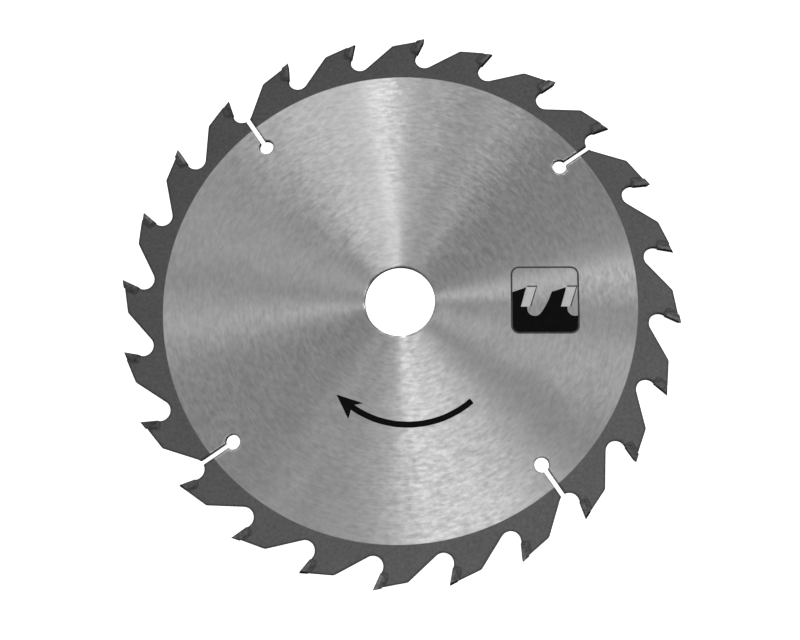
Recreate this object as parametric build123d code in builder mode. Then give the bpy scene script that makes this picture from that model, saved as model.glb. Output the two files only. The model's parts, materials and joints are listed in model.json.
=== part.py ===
from build123d import *
import os
from math import cos, radians, sin, tan

# Circular saw blade with brazed carbide tips. The bore axis is Z, Z = 0 is halfway through the plate,
# and the blade turns clockwise seen from +Z. Lengths are in millimetres and angles in degrees.

# Plate
blade_diameter = 160.0
bore_diameter = 20.0
plate_thickness = 1.6

# Teeth
tooth_count = 24
first_tooth_turn = 9.5
hook_angle = 20.0
clearance_angle = 15.0
land_drop = 0.3
heel_distance = 9.8
heel_radius = 1.5
gullet_depth = 9.1
gullet_radius = 2.85

# Carbide tips, and the braze behind and below each one
tip_length = 5.0
tip_thickness = 2.0
tip_corner_radius = 0.5
tip_front_overhang = 0.2
tip_side_overhang = 0.4
top_bevel_angle = 15.0
radial_side_angle = 1.0
tangential_side_angle = 2.5
braze_thickness = 0.12

# Expansion slots, each leading in from a gullet
slot_count = 4
slot_tooth = 2
slot_width = 1.3
slot_length = 10.0
slot_lean = 5.7
slot_hole_diameter = 4.1

# Sizes that follow
blade_radius = blade_diameter / 2
kerf_width = plate_thickness + 2 * tip_side_overhang
pitch_angle = 360 / tooth_count
seat_depth = tip_thickness + braze_thickness
seat_length = tip_length + braze_thickness
seat_corner_radius = tip_corner_radius + braze_thickness
top_fall = tip_thickness * tan(radians(hook_angle + clearance_angle))
hook = radians(hook_angle)
gullet_offset = gullet_radius - tip_front_overhang
front_length = (gullet_depth - gullet_radius - gullet_offset * sin(hook)) / cos(hook)

os.makedirs("parts", exist_ok=True)


# Profiles are drawn for a tooth that points along +Y, and the whole blade is then turned to this frame
blade_frame = Plane.XY.rotated((0, 0, first_tooth_turn))


# A frame at the cutting point of the tooth that stands at turn from +Y, with its X axis at angle to
# the way the blade moves there
def tooth_frame(turn, angle):
    return Plane(Location((0, 0, 0), (0, 0, turn)) * Location((0, blade_radius, 0), (0, 0, angle)))


# X of the rake frame points ahead of the rake face and Y out along it. X of a land frame runs forward
# along the top of a tooth and Y points out from it.
rake_frame = tooth_frame(0, -hook_angle)
land_frame = tooth_frame(0, clearance_angle)
land_ahead = tooth_frame(-pitch_angle, clearance_angle)


# The gap ahead of a tooth runs down its front, round the gullet, up the flank to the heel of the
# tooth ahead and along the land of that tooth
front_top = rake_frame.from_local_coords((-tip_front_overhang, tip_length))
front_foot = rake_frame.from_local_coords((-tip_front_overhang, -front_length))
gullet_centre = rake_frame.from_local_coords((gullet_offset, -front_length))
gullet_bottom = gullet_centre - Vector(0, gullet_radius)
heel = land_ahead.from_local_coords((-heel_distance, -land_drop))
land_end = land_ahead.from_local_coords((0, -land_drop))
land_outside = land_ahead.from_local_coords((0, tip_length))

with BuildSketch() as tooth_gap:
    with BuildLine():
        gullet_circle = CenterArc(gullet_centre, gullet_radius, 0, 360, mode=Mode.PRIVATE)
        flank = ConstrainedLines(gullet_circle, heel, selector=lambda lines: lines.sort_by(Axis.Y)[:1])
        flank_foot = flank.vertices().sort_by_distance(heel)[-1]
        ThreePointArc(front_foot, gullet_bottom, flank_foot)
        Polyline(heel, land_end, land_outside, front_top, front_foot)
    make_face()
    fillet(tooth_gap.vertices().sort_by_distance(heel)[0], heel_radius)

# The toothed plate before its tip seats are cut
with BuildSketch() as toothed_blank:
    Circle(blade_radius)
    with PolarLocations(0, tooth_count):
        add(tooth_gap.sketch, mode=Mode.SUBTRACT)

# The seat of a tip, open ahead and on top
seat_corner = rake_frame.from_local_coords((-seat_depth, -seat_length))
with BuildSketch(rake_frame) as tip_seat:
    with Locations((-seat_depth, -seat_length)):
        Rectangle(seat_depth + gullet_radius, 2 * seat_length, align=Align.MIN)
    fillet(tip_seat.vertices().sort_by_distance(seat_corner)[0], seat_corner_radius)

# A slot that leans forward from its round end to the bottom of a gullet
slot_frame = Plane(Location(gullet_bottom, (0, 0, -slot_lean)))
with BuildSketch(slot_frame) as expansion_slot:
    with Locations((0, -slot_length)):
        Circle(slot_hole_diameter / 2)
        Rectangle(slot_width, slot_length + gullet_radius, align=(Align.CENTER, Align.MIN))

# Blade body
with BuildPart() as blade_body:
    with BuildSketch(blade_frame):
        add(toothed_blank.sketch)
        Circle(bore_diameter / 2, mode=Mode.SUBTRACT)
        with PolarLocations(0, tooth_count):
            add(tip_seat.sketch, mode=Mode.SUBTRACT)
        with PolarLocations(0, slot_count, slot_tooth * pitch_angle):
            add(expansion_slot.sketch, mode=Mode.SUBTRACT)
    extrude(amount=plate_thickness / 2, both=True)
blade_body.part.label = "blade_body"
export_step(blade_body.part, "parts/blade_body.step")

# Side view of a tip, with its rake face, its top falling back to the seat and its rounded back corner
tip_corner = rake_frame.from_local_coords((-tip_thickness, -tip_length))
with BuildSketch() as tip_profile:
    with BuildLine(rake_frame):
        Polyline(
            (0, 0),
            (-tip_thickness, -top_fall),
            (-tip_thickness, -tip_length),
            (0, -tip_length),
            close=True,
        )
    make_face()
    fillet(tip_profile.vertices().sort_by_distance(tip_corner)[0], tip_corner_radius)


# A tip ground so that its sides close in towards its foot and its back, and its top falls away from
# the corner on the high side, where high_side is 1 for the +Z face and -1 for the other
def ground_tip(high_side):
    radial_lean = rake_frame.y_dir * tan(radians(radial_side_angle))
    tangential_lean = rake_frame.x_dir * tan(radians(tangential_side_angle))
    with BuildPart() as tip:
        with BuildSketch():
            add(tip_profile.sketch)
        extrude(amount=kerf_width / 2, both=True)
        for side in (1, -1):
            corner = rake_frame.origin + Vector(0, 0, side * kerf_width / 2)
            side_normal = Vector(0, 0, side) - radial_lean - tangential_lean
            split(bisect_by=Plane(origin=corner, z_dir=side_normal), keep=Keep.BOTTOM)
        high_corner = rake_frame.origin + Vector(0, 0, high_side * kerf_width / 2)
        top_normal = land_frame.y_dir - Vector(0, 0, high_side * tan(radians(top_bevel_angle)))
        split(bisect_by=Plane(origin=high_corner, z_dir=top_normal), keep=Keep.BOTTOM)
    return tip.part


# The thin layer that fills a seat behind and below its tip, flush with the plate
with BuildPart() as seat_braze:
    with BuildSketch():
        add(toothed_blank.sketch)
        add(tip_seat.sketch, mode=Mode.INTERSECT)
        add(tip_profile.sketch, mode=Mode.SUBTRACT)
    extrude(amount=plate_thickness / 2, both=True)

# Carbide tips and braze seams, with the high corner of each tip on the other side from its neighbours'
tips_by_side = [ground_tip(-1), ground_tip(1)]
for number in range(tooth_count):
    place = Location((0, 0, 0), (0, 0, first_tooth_turn + number * pitch_angle))
    with BuildPart() as carbide_tip:
        with Locations(place):
            add(tips_by_side[number % 2])
    carbide_tip.part.label = f"carbide_tip_{number + 1:02d}"
    export_step(carbide_tip.part, f"parts/{carbide_tip.part.label}.step")

    with BuildPart() as braze_seam:
        with Locations(place):
            add(seat_braze.part)
    braze_seam.part.label = f"braze_seam_{number + 1:02d}"
    export_step(braze_seam.part, f"parts/{braze_seam.part.label}.step")
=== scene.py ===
import json
import math
import random

import bpy
from mathutils import Matrix, Vector


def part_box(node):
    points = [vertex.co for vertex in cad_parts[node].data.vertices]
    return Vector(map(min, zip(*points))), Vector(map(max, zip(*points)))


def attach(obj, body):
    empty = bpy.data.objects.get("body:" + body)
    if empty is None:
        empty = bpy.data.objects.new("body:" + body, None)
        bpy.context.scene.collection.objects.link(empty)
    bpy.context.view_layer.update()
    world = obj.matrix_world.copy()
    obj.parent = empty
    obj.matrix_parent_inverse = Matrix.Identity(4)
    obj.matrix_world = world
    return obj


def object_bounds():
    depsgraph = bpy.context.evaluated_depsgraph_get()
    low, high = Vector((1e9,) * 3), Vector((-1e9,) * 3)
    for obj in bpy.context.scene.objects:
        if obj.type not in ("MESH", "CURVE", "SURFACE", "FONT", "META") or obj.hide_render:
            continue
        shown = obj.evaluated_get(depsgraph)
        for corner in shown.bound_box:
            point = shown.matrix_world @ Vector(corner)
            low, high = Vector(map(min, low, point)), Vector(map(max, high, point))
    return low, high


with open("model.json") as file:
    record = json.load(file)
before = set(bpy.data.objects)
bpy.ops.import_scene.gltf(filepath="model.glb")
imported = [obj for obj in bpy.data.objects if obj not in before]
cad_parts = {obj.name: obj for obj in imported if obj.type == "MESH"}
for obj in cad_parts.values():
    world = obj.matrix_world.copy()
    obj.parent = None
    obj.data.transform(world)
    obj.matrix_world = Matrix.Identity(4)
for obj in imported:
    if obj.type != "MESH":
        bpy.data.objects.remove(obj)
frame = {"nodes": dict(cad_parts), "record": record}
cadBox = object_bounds()
print("frame loaded:", len(frame["nodes"]), "nodes")

mm = 0.001
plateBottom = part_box("blade_body")[0].z
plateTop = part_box("blade_body")[1].z
floorLevel = cadBox[0].z

# where the tips stand, in millimetres and degrees, for their finish and for the braze round them
toothing = {"teeth": 24, "firstTurn": 9.5, "cuttingRadius": 80.0, "hook": 20.0}


# small helpers for shader nodes. A value may be a plain number or another node's socket.
def feed(tree, socket, value):
    if isinstance(value, bpy.types.NodeSocket):
        tree.links.new(value, socket)
    else:
        socket.default_value = value


def addNode(tree, kind, inputs=None, **settings):
    node = tree.nodes.new(kind)
    for name, value in settings.items():
        setattr(node, name, value)
    for name, value in (inputs or {}).items():
        feed(tree, node.inputs[name], value)
    return node


def mathStep(tree, operation, *values, clamp=False):
    node = addNode(tree, "ShaderNodeMath", dict(enumerate(values)), operation=operation, use_clamp=clamp)
    return node.outputs["Value"]


def product(tree, first, *others):
    for other in others:
        first = mathStep(tree, "MULTIPLY", first, other)
    return first


def vectorStep(tree, operation, *values, output="Vector"):
    node = addNode(tree, "ShaderNodeVectorMath", dict(enumerate(values)), operation=operation)
    return node.outputs[output]


def scaled(tree, vector, factor):
    node = addNode(tree, "ShaderNodeVectorMath", {0: vector, "Scale": factor}, operation="SCALE")
    return node.outputs["Vector"]


def remap(tree, value, fromMin, fromMax, toMin=0.0, toMax=1.0, smooth=False):
    node = addNode(
        tree,
        "ShaderNodeMapRange",
        {"Value": value, "From Min": fromMin, "From Max": fromMax, "To Min": toMin, "To Max": toMax},
        interpolation_type="SMOOTHSTEP" if smooth else "LINEAR",
    )
    return node.outputs["Result"]


# a mask that is 1 below the limit and 0 above it, with a soft change over blend to each side
def below(tree, value, limit, blend):
    return remap(tree, value, limit + blend, limit - blend, smooth=True)


# a shade from 0 to 1 turned into a factor round 1
def vary(tree, shade, amount):
    return remap(tree, shade, 0.0, 1.0, 1.0 - amount, 1.0 + amount)


def mixColor(tree, factor, first, second):
    node = addNode(tree, "ShaderNodeMix", data_type="RGBA")
    feed(tree, node.inputs["Factor"], factor)
    feed(tree, node.inputs["A"], first)
    feed(tree, node.inputs["B"], second)
    return node.outputs["Result"]


def mixValue(tree, factor, first, second):
    node = addNode(tree, "ShaderNodeMix", data_type="FLOAT")
    feed(tree, node.inputs["Factor"], factor)
    feed(tree, node.inputs["A"], first)
    feed(tree, node.inputs["B"], second)
    return node.outputs["Result"]


def grey(level):
    return (level, level, level, 1.0)


def greyFrom(tree, level):
    node = addNode(tree, "ShaderNodeCombineColor", {"Red": level, "Green": level, "Blue": level})
    return node.outputs["Color"]


def noise(tree, place, detail, roughness, scale=1.0):
    inputs = {"Vector": place, "Scale": scale, "Detail": detail, "Roughness": roughness}
    return addNode(tree, "ShaderNodeTexNoise", inputs).outputs["Fac"]


def newGroup(name, inputs, outputs):
    group = bpy.data.node_groups.new(name, "ShaderNodeTree")
    for label, default in inputs.items():
        socket = group.interface.new_socket(label, in_out="INPUT", socket_type="NodeSocketFloat")
        socket.default_value = default
    for label, kind in outputs.items():
        group.interface.new_socket(label, in_out="OUTPUT", socket_type=kind)
    return group, group.nodes.new("NodeGroupInput"), group.nodes.new("NodeGroupOutput")


def useGroup(tree, group, **values):
    node = addNode(tree, "ShaderNodeGroup", node_tree=group)
    for label, value in values.items():
        feed(tree, node.inputs[label], value)
    return node


# place on the part in millimetres, in the blade's own frame
def placeInMm(tree):
    return scaled(tree, addNode(tree, "ShaderNodeTexCoord").outputs["Object"], 1 / mm)


def axes(tree, vector):
    node = addNode(tree, "ShaderNodeSeparateXYZ", {"Vector": vector})
    return node.outputs["X"], node.outputs["Y"], node.outputs["Z"]


def alongPlate(tree, place):
    return vectorStep(tree, "MULTIPLY", place, (1.0, 1.0, 0.0))


def radiusAt(tree, place):
    return vectorStep(tree, "LENGTH", alongPlate(tree, place), output="Value")


# directions at each point: straight out from the bore, and round it
def outFromBore(tree, place):
    return vectorStep(tree, "NORMALIZE", alongPlate(tree, place))


def roundTheBore(tree, place):
    return vectorStep(tree, "CROSS_PRODUCT", (0.0, 0.0, 1.0), outFromBore(tree, place))


noiseLimits = (0.3, 0.7)  # nearly all of a noise lies between these
backShift = 37.0  # sideways shift of the lines per millimetre of height, so that each face has its own
lineNoise = {"detail": 3.0, "roughness": 0.6}
cloudRoughness = 0.55


# Grinding lines that run round the bore. Shade is light and dark lines, Normal leans each line a
# little to one side, so that it catches the light a bit before or after its neighbours.
def makeGrindLines():
    group, given, result = newGroup(
        "grindLines",
        {"Spacing": 0.3, "Length": 6.0, "Stray": 0.03},
        {"Shade": "NodeSocketFloat", "Normal": "NodeSocketVector"},
    )
    place = placeInMm(group)
    x, y, z = axes(group, place)
    shifted = mathStep(group, "ADD", x, mathStep(group, "MULTIPLY", z, backShift))
    along = mathStep(group, "DIVIDE", shifted, given.outputs["Length"])
    across = mathStep(group, "DIVIDE", y, given.outputs["Length"])
    outward = mathStep(group, "DIVIDE", radiusAt(group, place), given.outputs["Spacing"])
    stretched = addNode(group, "ShaderNodeCombineXYZ", {"X": along, "Y": across, "Z": outward})
    lines = noise(group, stretched.outputs["Vector"], **lineNoise)
    feed(group, result.inputs["Shade"], remap(group, lines, *noiseLimits))
    lean = mathStep(group, "MULTIPLY", mathStep(group, "SUBTRACT", lines, 0.5), given.outputs["Stray"])
    normal = addNode(group, "ShaderNodeNewGeometry").outputs["Normal"]
    leaning = vectorStep(group, "ADD", normal, scaled(group, roundTheBore(group, place), lean))
    feed(group, result.inputs["Normal"], vectorStep(group, "NORMALIZE", leaning))
    return group


# where an edge and a wall start and end, as cosines of the angle to the face and to the blade's axis
edgeMask = {
    "edgeStart": 0.9995,
    "edgeFull": 0.975,
    "wallStart": 0.85,
    "wallFull": 0.6,
    "bevelSamples": 6,
    "ragged": {"detail": 3.0, "roughness": 0.5, "scale": 1.3},
}


# Edge is a band along every sharp edge, Wall is everything that stands square to the faces, and Lean
# rounds the edge off, so that it is light or dark by the way it faces.
def makeCutEdges(m):
    group, given, result = newGroup(
        "cutEdges",
        {"Width": 0.4, "Ragged": 0.3, "Rounding": 2.0},
        {"Edge": "NodeSocketFloat", "Wall": "NodeSocketFloat", "Lean": "NodeSocketVector"},
    )
    normal = addNode(group, "ShaderNodeNewGeometry").outputs["Normal"]
    width = mathStep(group, "MULTIPLY", given.outputs["Width"], mm)
    bevel = addNode(group, "ShaderNodeBevel", {"Radius": width}, samples=m["bevelSamples"])
    rounded = bevel.outputs["Normal"]
    flatness = vectorStep(group, "DOT_PRODUCT", normal, rounded, output="Value")
    band = remap(group, flatness, m["edgeStart"], m["edgeFull"])
    uneven = noise(group, placeInMm(group), **m["ragged"])
    unevenness = mathStep(group, "SUBTRACT", uneven, 0.5)
    change = product(group, unevenness, given.outputs["Ragged"], band)
    feed(group, result.inputs["Edge"], mathStep(group, "ADD", band, change, clamp=True))
    upright = mathStep(group, "ABSOLUTE", axes(group, normal)[2])
    feed(group, result.inputs["Wall"], remap(group, upright, m["wallStart"], m["wallFull"]))
    lean = scaled(group, vectorStep(group, "SUBTRACT", rounded, normal), given.outputs["Rounding"])
    feed(group, result.inputs["Lean"], lean)
    return group


# Soft cloudy change, about Size millimetres across
def makeMottle():
    group, given, result = newGroup("mottle", {"Size": 10.0, "Detail": 3.0}, {"Shade": "NodeSocketFloat"})
    shrunk = scaled(group, placeInMm(group), mathStep(group, "DIVIDE", 1.0, given.outputs["Size"]))
    cloud = noise(group, shrunk, given.outputs["Detail"], cloudRoughness)
    feed(group, result.inputs["Shade"], remap(group, cloud, *noiseLimits))
    return group


# Place on the nearest tooth, in millimetres: Behind its rake face, and Below its cutting point along
# it. Turn is where the first tooth stands, in degrees from +Y.
def makeToothPlace():
    group, given, result = newGroup(
        "toothPlace",
        {"Teeth": 24.0, "Turn": 0.0, "Radius": 80.0, "Hook": 20.0},
        {"Behind": "NodeSocketFloat", "Below": "NodeSocketFloat"},
    )
    place = placeInMm(group)
    x, y = axes(group, place)[:2]
    fromY = mathStep(group, "ARCTAN2", mathStep(group, "MULTIPLY", x, -1.0), y)
    turn = mathStep(group, "SUBTRACT", fromY, mathStep(group, "RADIANS", given.outputs["Turn"]))
    halfPitch = mathStep(group, "DIVIDE", math.pi, given.outputs["Teeth"])
    onTooth = mathStep(group, "WRAP", turn, halfPitch, mathStep(group, "MULTIPLY", halfPitch, -1.0))
    radius = radiusAt(group, place)
    trail = mathStep(group, "MULTIPLY", radius, mathStep(group, "SINE", onTooth))
    outward = mathStep(group, "MULTIPLY", radius, mathStep(group, "COSINE", onTooth))
    short = mathStep(group, "SUBTRACT", given.outputs["Radius"], outward)
    hook = mathStep(group, "RADIANS", given.outputs["Hook"])
    sine, cosine = mathStep(group, "SINE", hook), mathStep(group, "COSINE", hook)
    trailAcross = mathStep(group, "MULTIPLY", trail, cosine)
    trailAlong = mathStep(group, "MULTIPLY", trail, sine)
    shortAcross = mathStep(group, "MULTIPLY", short, sine)
    shortAlong = mathStep(group, "MULTIPLY", short, cosine)
    feed(group, result.inputs["Behind"], mathStep(group, "SUBTRACT", trailAcross, shortAcross))
    feed(group, result.inputs["Below"], mathStep(group, "ADD", shortAlong, trailAlong))
    return group


grindLines = makeGrindLines()
cutEdges = makeCutEdges(edgeMask)
mottle = makeMottle()
toothPlace = makeToothPlace()
print("shader groups built")


def startMaterial(name):
    material = bpy.data.materials.new(name)
    material.use_nodes = True
    tree = material.node_tree
    tree.nodes.clear()
    shader = tree.nodes.new("ShaderNodeBsdfPrincipled")
    output = tree.nodes.new("ShaderNodeOutputMaterial")
    tree.links.new(shader.outputs["BSDF"], output.inputs["Surface"])
    return material, tree, shader


# plate steel: a ground middle with a clean round boundary, and a dull dark rim that carries the teeth.
# Painted light makes the rim a little lighter towards one side, in degrees anticlockwise from +X.
plateLook = {
    "groundRadius": 67.7,
    "boundarySoftness": 0.14,
    "groundColor": 0.58,
    "groundRoughness": 0.42,
    "anisotropy": 1.0,
    "fineLines": {"Spacing": 0.22, "Length": 5.0, "Stray": 0.03},
    "fineShade": 0.05,
    "fineRoughness": 0.03,
    "strokes": {"Spacing": 1.1, "Length": 2.2, "Stray": 0.08},
    "strokeShade": 0.095,
    "strokeRoughness": 0.06,
    "clouds": {"Size": 9.0, "Detail": 3.0},
    "cloudShade": 0.04,
    "rimColor": 0.116,
    "rimRoughness": 0.62,
    "rimGrain": {"Size": 0.9, "Detail": 4.0},
    "rimGrainShade": 0.16,
    "rimPaintedLightSide": 307.0,
    "rimPaintedLight": 0.16,
    "rimPaintedLightReach": 70.0,
    "edges": {"Width": 1.1, "Ragged": 0.8, "Rounding": 2.8},
    # painted shade: the edge and wall colours darken the cut edges and walls, partly a real heat tint and
    # oxide
    "edgeShadeColor": 0.03,
    "edgeShadeShareOnGround": 0.18,
    "edgeShadeShareOnRim": 0.5,
    "edgeRoughness": 0.22,
    "edgeShine": 0.8,
    "wallShadeColor": 0.012,
    "wallRoughness": 0.7,
}


def makePlateSteel(look):
    material, tree, shader = startMaterial("groundSteel")
    place = placeInMm(tree)
    fine = useGroup(tree, grindLines, **look["fineLines"])
    strokes = useGroup(tree, grindLines, **look["strokes"])
    clouds = useGroup(tree, mottle, **look["clouds"])
    grain = useGroup(tree, mottle, **look["rimGrain"])
    edges = useGroup(tree, cutEdges, **look["edges"])
    ground = below(tree, radiusAt(tree, place), look["groundRadius"], look["boundarySoftness"])

    # ground face
    lineShade = vary(tree, fine.outputs["Shade"], look["fineShade"])
    strokeShade = vary(tree, strokes.outputs["Shade"], look["strokeShade"])
    cloudShade = vary(tree, clouds.outputs["Shade"], look["cloudShade"])
    groundLevel = product(tree, lineShade, strokeShade, cloudShade, look["groundColor"])

    # dull rim
    # painted light: the rim is made lighter towards one side and darker towards the other, as light falls
    paintedLightSide = math.radians(look["rimPaintedLightSide"])
    towards = (math.cos(paintedLightSide), math.sin(paintedLightSide), 0.0)
    offCentre = vectorStep(tree, "DOT_PRODUCT", place, towards, output="Value")
    reach, paintedLightShare = look["rimPaintedLightReach"], look["rimPaintedLight"]
    paintedSideLight = remap(tree, offCentre, -reach, reach, 1.0 - paintedLightShare, 1.0 + paintedLightShare)
    grainShade = vary(tree, grain.outputs["Shade"], look["rimGrainShade"])
    rimLevel = product(tree, grainShade, cloudShade, paintedSideLight, look["rimColor"])

    level = mixValue(tree, ground, rimLevel, groundLevel)
    # painted shade along the cut edges, partly a real heat tint; the walls are made near black, partly
    # their oxide and partly painted shade
    edgeShadeShare = mixValue(tree, ground, look["edgeShadeShareOnRim"], look["edgeShadeShareOnGround"])
    edgeShadeCover = mathStep(tree, "MULTIPLY", edges.outputs["Edge"], edgeShadeShare)
    level = mixValue(tree, edgeShadeCover, level, look["edgeShadeColor"])
    level = mixValue(tree, edges.outputs["Wall"], level, look["wallShadeColor"])
    feed(tree, shader.inputs["Base Color"], greyFrom(tree, level))

    base, change = look["groundRoughness"], look["fineRoughness"]
    fineRough = remap(tree, fine.outputs["Shade"], 0.0, 1.0, base + change, base - change)
    change = look["strokeRoughness"]
    strokeRough = remap(tree, strokes.outputs["Shade"], 0.0, 1.0, change, -change)
    rough = mathStep(tree, "ADD", fineRough, strokeRough)
    edgeShine = mathStep(tree, "MULTIPLY", edges.outputs["Edge"], look["edgeShine"])
    rough = mixValue(tree, edgeShine, rough, look["edgeRoughness"])
    rough = mixValue(tree, ground, look["rimRoughness"], rough)
    rough = mixValue(tree, edges.outputs["Wall"], rough, look["wallRoughness"])
    feed(tree, shader.inputs["Roughness"], rough)
    feed(tree, shader.inputs["Metallic"], mixValue(tree, edges.outputs["Wall"], ground, 0.0))

    leaning = vectorStep(tree, "ADD", fine.outputs["Normal"], strokes.outputs["Normal"])
    leaning = vectorStep(tree, "ADD", leaning, edges.outputs["Lean"])
    feed(tree, shader.inputs["Normal"], vectorStep(tree, "NORMALIZE", leaning))
    feed(tree, shader.inputs["Tangent"], outFromBore(tree, place))
    shader.inputs["Anisotropic"].default_value = look["anisotropy"]
    shader.inputs["Specular IOR Level"].default_value = 0.0
    return material


# sintered carbide: brightest along the cutting edge, where it is freshly ground, and duller towards
# its back and its foot, where the heat of brazing has stained it. The depth and the length of the
# clean part are in millimetres from the rake face and from the cutting point.
carbideLook = {
    "color": 0.143,
    "wear": {"Size": 14.0, "Detail": 1.0},
    "wearShade": 0.5,
    "stainColor": 0.092,
    "cleanDepth": 0.95,
    "cleanDepthBlend": 0.3,
    "cleanLength": 4.7,
    "cleanLengthBlend": 0.5,
    "lines": {"Spacing": 0.08, "Length": 2.5, "Stray": 0.06},
    "lineShade": 0.1,
    "patches": {"Size": 0.7, "Detail": 4.0},
    "patchShade": 0.4,
    "roughness": 0.42,
    "patchRoughness": 0.06,
    "metallic": 0.8,
    "anisotropy": 0.9,
    "edges": {"Width": 0.45, "Ragged": 1.0, "Rounding": 1.3},
    # painted shade: the edge and wall colours darken the tip's edges and walls, though its ground faces
    # are bright
    "edgeShadeColor": 0.02,
    "edgeShadeShare": 0.2,
    "wallShadeColor": 0.012,
}


def makeCarbide(look):
    material, tree, shader = startMaterial("sinteredCarbide")
    lines = useGroup(tree, grindLines, **look["lines"])
    patches = useGroup(tree, mottle, **look["patches"])
    wear = useGroup(tree, mottle, **look["wear"])
    edges = useGroup(tree, cutEdges, **look["edges"])
    tooth = useGroup(
        tree,
        toothPlace,
        Teeth=toothing["teeth"],
        Turn=toothing["firstTurn"],
        Radius=toothing["cuttingRadius"],
        Hook=toothing["hook"],
    )
    nearFace = below(tree, tooth.outputs["Behind"], look["cleanDepth"], look["cleanDepthBlend"])
    nearPoint = below(tree, tooth.outputs["Below"], look["cleanLength"], look["cleanLengthBlend"])
    clean = mathStep(tree, "MULTIPLY", nearFace, nearPoint)
    wearShade = vary(tree, wear.outputs["Shade"], look["wearShade"])
    cleanLevel = mathStep(tree, "MULTIPLY", wearShade, look["color"])
    level = mixValue(tree, clean, look["stainColor"], cleanLevel)
    lineShade = vary(tree, lines.outputs["Shade"], look["lineShade"])
    patchShade = vary(tree, patches.outputs["Shade"], look["patchShade"])
    level = product(tree, level, lineShade, patchShade)
    # painted shade: a dark band along the tip's edges and near-black walls, where the faces stand out of
    # the light
    edgeShadeCover = mathStep(tree, "MULTIPLY", edges.outputs["Edge"], look["edgeShadeShare"])
    level = mixValue(tree, edgeShadeCover, level, look["edgeShadeColor"])
    level = mixValue(tree, edges.outputs["Wall"], level, look["wallShadeColor"])
    feed(tree, shader.inputs["Base Color"], greyFrom(tree, level))

    base, change = look["roughness"], look["patchRoughness"]
    rough = remap(tree, patches.outputs["Shade"], 0.0, 1.0, base + change, base - change)
    feed(tree, shader.inputs["Roughness"], rough)
    metal = remap(tree, edges.outputs["Wall"], 0.0, 1.0, look["metallic"], 0.0)
    feed(tree, shader.inputs["Metallic"], metal)
    leaning = vectorStep(tree, "ADD", lines.outputs["Normal"], edges.outputs["Lean"])
    feed(tree, shader.inputs["Normal"], vectorStep(tree, "NORMALIZE", leaning))
    feed(tree, shader.inputs["Tangent"], roundTheBore(tree, placeInMm(tree)))
    shader.inputs["Anisotropic"].default_value = look["anisotropy"]
    shader.inputs["Specular IOR Level"].default_value = 0.0
    return material


# braze: dull burnt flux, with bare silvery metal where the patches are lightest
brazeLook = {
    "fluxColor": 0.105,
    "fluxRoughness": 0.55,
    "metalColor": (0.20, 0.18, 0.14, 1.0),
    "metalRoughness": 0.35,
    "metalShare": 0.25,
    "metalBlend": 0.15,
    "patches": {"Size": 0.5, "Detail": 4.0},
    "bumpDepth": 0.05,
    "bumpStrength": 0.6,
}


def makeBraze(look):
    material, tree, shader = startMaterial("silverBraze")
    patches = useGroup(tree, mottle, **look["patches"])
    bare = 1.0 - look["metalShare"]
    shine = remap(tree, patches.outputs["Shade"], bare, bare + look["metalBlend"])
    color = mixColor(tree, shine, grey(look["fluxColor"]), look["metalColor"])
    feed(tree, shader.inputs["Base Color"], color)
    feed(tree, shader.inputs["Metallic"], shine)
    rough = remap(tree, shine, 0.0, 1.0, look["fluxRoughness"], look["metalRoughness"])
    feed(tree, shader.inputs["Roughness"], rough)
    bump = addNode(
        tree,
        "ShaderNodeBump",
        {
            "Height": patches.outputs["Shade"],
            "Distance": look["bumpDepth"] * mm,
            "Strength": look["bumpStrength"],
        },
    )
    feed(tree, shader.inputs["Normal"], bump.outputs["Normal"])
    return material


# ink lies thin on the ground face, so that the grinding lines show through it
inkLook = {
    "lines": {"Spacing": 0.22, "Length": 5.0, "Stray": 0.05},
    "cover": {"Size": 1.6, "Detail": 4.0},
    "smoothest": 0.45,
    "roughest": 0.58,
    "anisotropy": 0.6,
    "gloss": 0.04,
}
inkTones = {
    "blackInk": {"color": 0.004, "unevenness": 0.25},
    "lineInk": {"color": 0.07, "unevenness": 0.25},
    "paleInk": {"color": 0.60, "unevenness": 0.06},
}


def makeInk(name, tone, look):
    material, tree, shader = startMaterial(name)
    lines = useGroup(tree, grindLines, **look["lines"])
    cover = useGroup(tree, mottle, **look["cover"])
    lineShade = vary(tree, lines.outputs["Shade"], tone["unevenness"])
    coverShade = vary(tree, cover.outputs["Shade"], tone["unevenness"])
    level = product(tree, lineShade, coverShade, tone["color"])
    feed(tree, shader.inputs["Base Color"], greyFrom(tree, level))
    rough = remap(tree, cover.outputs["Shade"], 0.0, 1.0, look["smoothest"], look["roughest"])
    feed(tree, shader.inputs["Roughness"], rough)
    feed(tree, shader.inputs["Normal"], lines.outputs["Normal"])
    feed(tree, shader.inputs["Tangent"], outFromBore(tree, placeInMm(tree)))
    shader.inputs["Anisotropic"].default_value = look["anisotropy"]
    shader.inputs["Specular IOR Level"].default_value = look["gloss"]
    return material


finishes = {
    "plate_steel": makePlateSteel(plateLook),
    "carbide": makeCarbide(carbideLook),
    "braze": makeBraze(brazeLook),
}
inks = {name: makeInk(name, tone, inkLook) for name, tone in inkTones.items()}
for part in frame["record"]["subparts"]:
    node = frame["nodes"][part["node"]]
    node.data.materials.clear()
    node.data.materials.append(finishes[part["material_slot"]])
print("finishes on the blade, its tips and its braze")


# points along an arc, in millimetres and degrees
def arcPoints(centre, radius, start, end, steps):
    turns = [math.radians(start + (end - start) * i / steps) for i in range(steps + 1)]
    return [(centre[0] + radius * math.cos(t), centre[1] + radius * math.sin(t)) for t in turns]


def roundedSquare(half, corner, steps):
    points = []
    for start, sx, sy in ((0, 1, 1), (90, -1, 1), (180, -1, -1), (270, 1, -1)):
        middle = (sx * (half - corner), sy * (half - corner))
        points += arcPoints(middle, corner, start, start + 90, steps)
    return points


def addSpline(curve, points, level=0.0):
    spline = curve.splines.new("POLY")
    spline.points.add(len(points) - 1)
    for point, (x, y) in zip(spline.points, points):
        point.co = (x * mm, y * mm, level, 1.0)
    return spline


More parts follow.
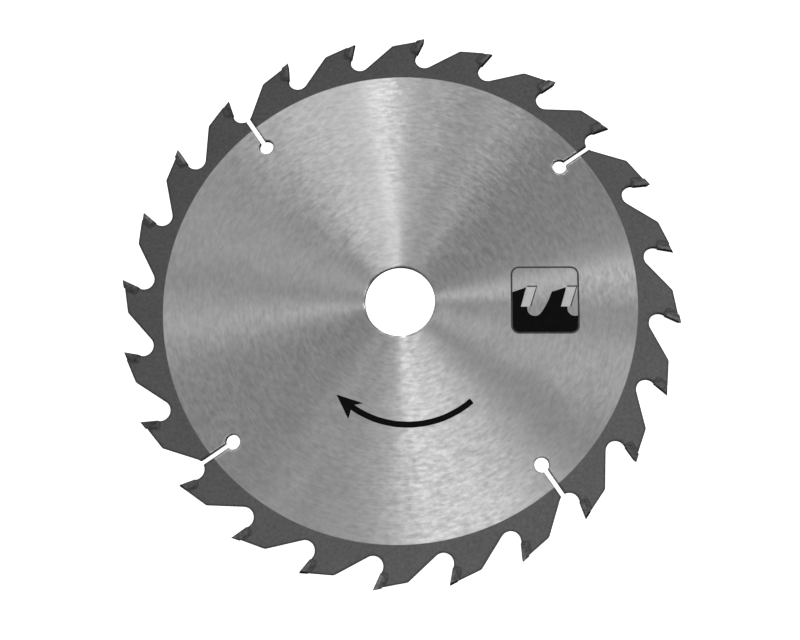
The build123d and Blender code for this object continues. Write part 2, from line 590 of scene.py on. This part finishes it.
# a curve turned into the mesh of a piece, at its height over the plate's middle
def pieceFromCurve(name, curve, level, material):
    shape = bpy.data.objects.new(name + "_curve", curve)
    shape.location.z = level
    bpy.context.scene.collection.objects.link(shape)
    bpy.context.view_layer.update()
    evaluated = shape.evaluated_get(bpy.context.evaluated_depsgraph_get())
    mesh = bpy.data.meshes.new_from_object(evaluated)
    mesh.transform(shape.matrix_world)
    mesh.name = name
    mesh.materials.clear()
    mesh.materials.append(material)
    bpy.data.objects.remove(shape)
    piece = bpy.data.objects.new(name, mesh)
    bpy.context.scene.collection.objects.link(piece)
    return piece


printThickness = 0.02  # millimetres


# a flat print on the front face: each outline is a closed loop, and a loop within a loop is a hole
def printShape(name, outlines, ink):
    curve = bpy.data.curves.new(name, "CURVE")
    curve.dimensions = "2D"
    curve.fill_mode = "BOTH"
    curve.extrude = printThickness / 2 * mm
    for outline in outlines:
        spline = addSpline(curve, outline)
        spline.use_cyclic_u = True
    piece = pieceFromCurve(name, curve, plateTop + printThickness / 2 * mm, inks[ink])
    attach(piece, "root")


# arrow that shows which way the blade turns
arrow = {
    "centre": (2.5, -7.8),
    "radius": 27.25,
    "width": 1.7,
    "tail": -50.0,
    "neck": -125.5,
    "steps": 32,
    "tip": (-17.9, -26.3),
    "barbs": ((-10.4, -28.85), (-14.55, -33.25)),
}


def makeArrow(a):
    half = a["width"] / 2
    outer = arcPoints(a["centre"], a["radius"] + half, a["tail"], a["neck"], a["steps"])
    inner = arcPoints(a["centre"], a["radius"] - half, a["neck"], a["tail"], a["steps"])
    innerBarb, outerBarb = a["barbs"]
    printShape("turning_arrow", [outer + [outerBarb, a["tip"], innerBarb] + inner], "blackInk")


makeArrow(arrow)

# square badge: a line round it, and below the tooth line a black field with two seated inserts.
# Its drawing is in millimetres from the badge's own middle.
badge = {
    "centre": (41.35, -0.3),
    "half": 9.75,
    "turn": -0.8,
    "corner": 2.4,
    "cornerSteps": 8,
    "line": 0.5,
    "pitch": 11.4,
    "landStart": (-9.5, 2.3),
    "landEnd": (-5.35, 3.65),
    "insertTop": 4.15,
    "insertFoot": -1.95,
    "insertLeft": -5.05,
    "insertWidth": 2.95,
    "slant": 17.0,
    "insertLine": 0.4,
    "gulletCentre": (-2.95, -2.5),
    "gulletRadius": 2.15,
    "gulletTurn": (180.0, 325.0),
    "gulletSteps": 14,
    "flankBend": (0.75, -1.1),
    "flankTop": (1.95, 2.35),
    "flankSteps": 8,
}


# points along a bend from start to end that heads for the point bend on its way
def bendPoints(start, bend, end, steps):
    points = []
    for i in range(1, steps + 1):
        t = i / steps
        weights = ((1 - t) ** 2, 2 * t * (1 - t), t * t)
        x, y = (sum(w * p[axis] for w, p in zip(weights, (start, bend, end))) for axis in (0, 1))
        points.append((x, y))
    return points


# the insert's four corners, clockwise from its top left, and its left side leans like a rake face
def insertCorners(b, shift):
    lean = (b["insertTop"] - b["insertFoot"]) * math.tan(math.radians(b["slant"]))
    left, right = b["insertLeft"] + shift, b["insertLeft"] + b["insertWidth"] + shift
    top, foot = b["insertTop"], b["insertFoot"]
    return (left, top), (right, top), (right - lean, foot), (left - lean, foot)


# one tooth of the badge: the top of its seat, the seat's foot, the gullet and the next flank
def toothLine(b, shift):
    def aside(point):
        return (point[0] + shift, point[1])

    seatFoot = insertCorners(b, shift)[3]
    gulletCentre = aside(b["gulletCentre"])
    gullet = arcPoints(gulletCentre, b["gulletRadius"], *b["gulletTurn"], b["gulletSteps"])
    notch = (gullet[0][0], b["insertFoot"])
    flank = bendPoints(gullet[-1], aside(b["flankBend"]), aside(b["flankTop"]), b["flankSteps"])
    return [aside(b["landEnd"]), seatFoot, notch] + gullet + flank


# the badge's own drawing, turned and moved to its place on the blade
def onBlade(b, points):
    turn = math.radians(b["turn"])
    cosine, sine = math.cos(turn), math.sin(turn)
    middleX, middleY = b["centre"]
    return [(middleX + (x * cosine - y * sine), middleY + (x * sine + y * cosine)) for x, y in points]


def makeBadge(b):
    inside = b["half"] - b["line"]
    insideCorner = b["corner"] - b["line"]
    steps = b["cornerSteps"]
    outerLoop = roundedSquare(b["half"], b["corner"], steps)
    innerLoop = roundedSquare(inside, insideCorner, steps)
    printShape("badge_line", [onBlade(b, outerLoop), onBlade(b, innerLoop)], "lineInk")

    # the black field runs under the tooth line: land, seat, gullet and flank, twice
    teeth = [b["landStart"]] + toothLine(b, 0.0) + toothLine(b, b["pitch"])
    teeth = [(max(x, -inside), y) for x, y in teeth if x < inside]
    rounding = inside - insideCorner
    corners = arcPoints((rounding, -rounding), insideCorner, 0, -90, steps)
    corners += arcPoints((-rounding, -rounding), insideCorner, -90, -180, steps)
    field = teeth + [(inside, teeth[-1][1])] + corners
    printShape("badge_field", [onBlade(b, field)], "blackInk")

    # each insert is pale, with a line along its top and its right side
    line = b["insertLine"]
    for number in range(2):
        topLeft, topRight, footRight, footLeft = insertCorners(b, number * b["pitch"])
        innerTopLeft = (topLeft[0], topLeft[1] - line)
        innerTopRight = (topRight[0] - line, topRight[1] - line)
        innerFoot = (footRight[0] - line, footRight[1])
        edge = [topLeft, topRight, footRight, innerFoot, innerTopRight, innerTopLeft]
        printShape(f"badge_insert_line_{number + 1}", [onBlade(b, edge)], "lineInk")
        fill = [innerTopLeft, innerTopRight, innerFoot, footLeft]
        printShape(f"badge_insert_{number + 1}", [onBlade(b, fill)], "paleInk")


makeBadge(badge)
print("arrow and badge printed")


# uneven bead of braze where each tip's side stands above the plate, along its foot and its back
bead = {
    "tipLength": 5.0,
    "tipThickness": 2.0,
    "cornerRadius": 0.5,
    "cornerSteps": 4,
    "footStops": (0.1, 0.5, 1.0),
    "backStops": (1.0, 1.5, 2.0, 2.5, 3.0),
    "radius": 0.2,
    "unevenness": (0.7, 1.25),
    "roundness": 2,
    "seed": 7,
}


# runs in from the rake face along the tip's foot, round its corner and out along its back
def beadPath(b, turn):
    hook = math.radians(toothing["hook"])
    ahead = (math.cos(hook), -math.sin(hook))
    outward = (math.sin(hook), math.cos(hook))

    def onTooth(x, y):
        px = ahead[0] * x + outward[0] * y
        py = toothing["cuttingRadius"] + ahead[1] * x + outward[1] * y
        t = math.radians(turn)
        return px * math.cos(t) - py * math.sin(t), px * math.sin(t) + py * math.cos(t)

    corner = b["cornerRadius"]
    foot, back = -b["tipLength"], -b["tipThickness"]
    path = [(-stop, foot) for stop in b["footStops"]]
    path += arcPoints((back + corner, foot + corner), corner, -90, -180, b["cornerSteps"])
    path += [(back, foot + stop) for stop in b["backStops"]]
    return [onTooth(x, y) for x, y in path]


def makeBeads(b):
    chance = random.Random(b["seed"])
    for number in range(toothing["teeth"]):
        turn = toothing["firstTurn"] + number * 360.0 / toothing["teeth"]
        name = f"braze_bead_{number + 1:02d}"
        curve = bpy.data.curves.new(name, "CURVE")
        curve.dimensions = "3D"
        curve.bevel_depth = b["radius"] * mm
        curve.bevel_resolution = b["roundness"]
        curve.use_fill_caps = True
        for level in (plateTop, plateBottom):
            spline = addSpline(curve, beadPath(b, turn), level)
            for point in spline.points:
                point.radius = chance.uniform(*b["unevenness"])
        piece = pieceFromCurve(name, curve, 0.0, finishes["braze"])
        for face in piece.data.polygons:
            face.use_smooth = True
        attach(piece, "root")


makeBeads(bead)
print("braze beads laid")


# pale floor, in metres, at the height that the blade lies on
floorLook = {"size": 12.0, "color": 0.8, "roughness": 0.8, "glow": 0.9}


def makeFloor(f):
    half = f["size"] / 2
    mesh = bpy.data.meshes.new("floor")
    corners = [(-half, -half), (half, -half), (half, half), (-half, half)]
    mesh.from_pydata([(x, y, floorLevel) for x, y in corners], [], [(0, 1, 2, 3)])
    floor = bpy.data.objects.new("floor", mesh)
    bpy.context.scene.collection.objects.link(floor)
    material, tree, shader = startMaterial("paleFloor")
    shader.inputs["Base Color"].default_value = grey(f["color"])
    shader.inputs["Roughness"].default_value = f["roughness"]
    shader.inputs["Emission Color"].default_value = grey(1.0)
    shader.inputs["Emission Strength"].default_value = f["glow"]
    mesh.materials.append(material)


makeFloor(floorLook)


# soft room light, dark on the near side and bright on the far side. The change runs between two
# values of the Y of the direction, and the camera sees an even pale backdrop.
room = {
    "horizon": 0.44,
    "zenith": 0.38,
    "nearSide": 0.16,
    "farSide": 1.08,
    "nearEnd": -0.25,
    "farEnd": 0.15,
    "backdrop": 0.95,
}


def makeRoom(r):
    world = bpy.data.worlds.new("studio")
    bpy.context.scene.world = world
    world.use_nodes = True
    tree = world.node_tree
    y, z = axes(tree, addNode(tree, "ShaderNodeTexCoord").outputs["Generated"])[1:]
    height = remap(tree, z, 0.0, 1.0, r["horizon"], r["zenith"])
    side = remap(tree, y, r["nearEnd"], r["farEnd"], r["nearSide"], r["farSide"])
    level = mathStep(tree, "MULTIPLY", height, side)
    seen = addNode(tree, "ShaderNodeLightPath").outputs["Is Camera Ray"]
    background = tree.nodes["Background"]
    feed(tree, background.inputs["Strength"], mixValue(tree, seen, level, r["backdrop"]))
    background.inputs["Color"].default_value = grey(1.0)


makeRoom(room)

# softboxes round the blade. Azimuth is in degrees anticlockwise from +X, seen from above, sizes and
# the distance are in metres and power is in watts.
softboxes = {
    "farStrip": {"azimuth": 98.0, "elevation": 32.0, "width": 0.07, "power": 1.66},
    "farInner": {"azimuth": 85.0, "elevation": 32.0, "width": 0.12, "power": 0.72},
    "farRight": {"azimuth": 71.0, "elevation": 32.0, "width": 0.15, "power": 0.84},
    "farWindow": {"azimuth": 126.0, "elevation": 32.0, "width": 0.54, "power": 1.0},
    "leftWindow": {"azimuth": 188.0, "elevation": 32.0, "width": 0.86, "power": 1.0},
    "rightWindow": {"azimuth": 350.0, "elevation": 32.0, "width": 0.41, "power": 2.35},
    "rightStrip": {"azimuth": 20.0, "elevation": 32.0, "width": 0.07, "power": 1.46},
    "nearWindow": {"azimuth": 283.0, "elevation": 64.0, "width": 0.33, "power": 2.3},
    "nearRight": {"azimuth": 309.0, "elevation": 64.0, "width": 0.26, "power": 0.87},
    "nearLeft": {"azimuth": 222.0, "elevation": 64.0, "width": 0.69, "power": 0.5},
}
softboxDistance = 1.2
softboxHeight = 1.0


def placeSoftbox(name, s):
    lamp = bpy.data.lights.new(name, "AREA")
    lamp.shape = "RECTANGLE"
    lamp.size = s["width"]
    lamp.size_y = softboxHeight
    lamp.energy = s["power"]
    body = bpy.data.objects.new(name, lamp)
    azimuth, elevation = math.radians(s["azimuth"]), math.radians(s["elevation"])
    aside = math.cos(elevation)
    direction = Vector((math.cos(azimuth) * aside, math.sin(azimuth) * aside, math.sin(elevation)))
    body.location = direction * softboxDistance
    body.rotation_euler = direction.to_track_quat("Z", "Y").to_euler()
    bpy.context.scene.collection.objects.link(body)


for name, softbox in softboxes.items():
    placeSoftbox(name, softbox)

# the camera stands high over the blade, a little to its near side. Its location is in millimetres.
cameraPlace = {
    "location": (21.98, -59.43, 311.68),
    "direction": (-0.0115, 0.1985, -0.98),
    "up": (0.0174, 0.98, 0.1983),
    "lens": 50.0,
    "sensor": 36.0,
    "shift": (-0.08, -0.04),
    "nearest": 0.01,
    "farthest": 20.0,
}


def placeCamera(c):
    lens = bpy.data.cameras.new("camera")
    lens.lens = c["lens"]
    lens.sensor_width = c["sensor"]
    lens.shift_x, lens.shift_y = c["shift"]
    lens.clip_start = c["nearest"]
    lens.clip_end = c["farthest"]
    camera = bpy.data.objects.new("camera", lens)
    back = -Vector(c["direction"]).normalized()
    right = Vector(c["up"]).cross(back).normalized()
    up = back.cross(right)
    turn = [[right[i], up[i], back[i]] for i in range(3)]
    camera.matrix_world = Matrix.Translation(Vector(c["location"]) * mm) @ Matrix(turn).to_4x4()
    bpy.context.scene.collection.objects.link(camera)
    bpy.context.scene.camera = camera


placeCamera(cameraPlace)
bpy.context.scene.view_settings.view_transform = "Standard"
print("floor, light and camera placed")
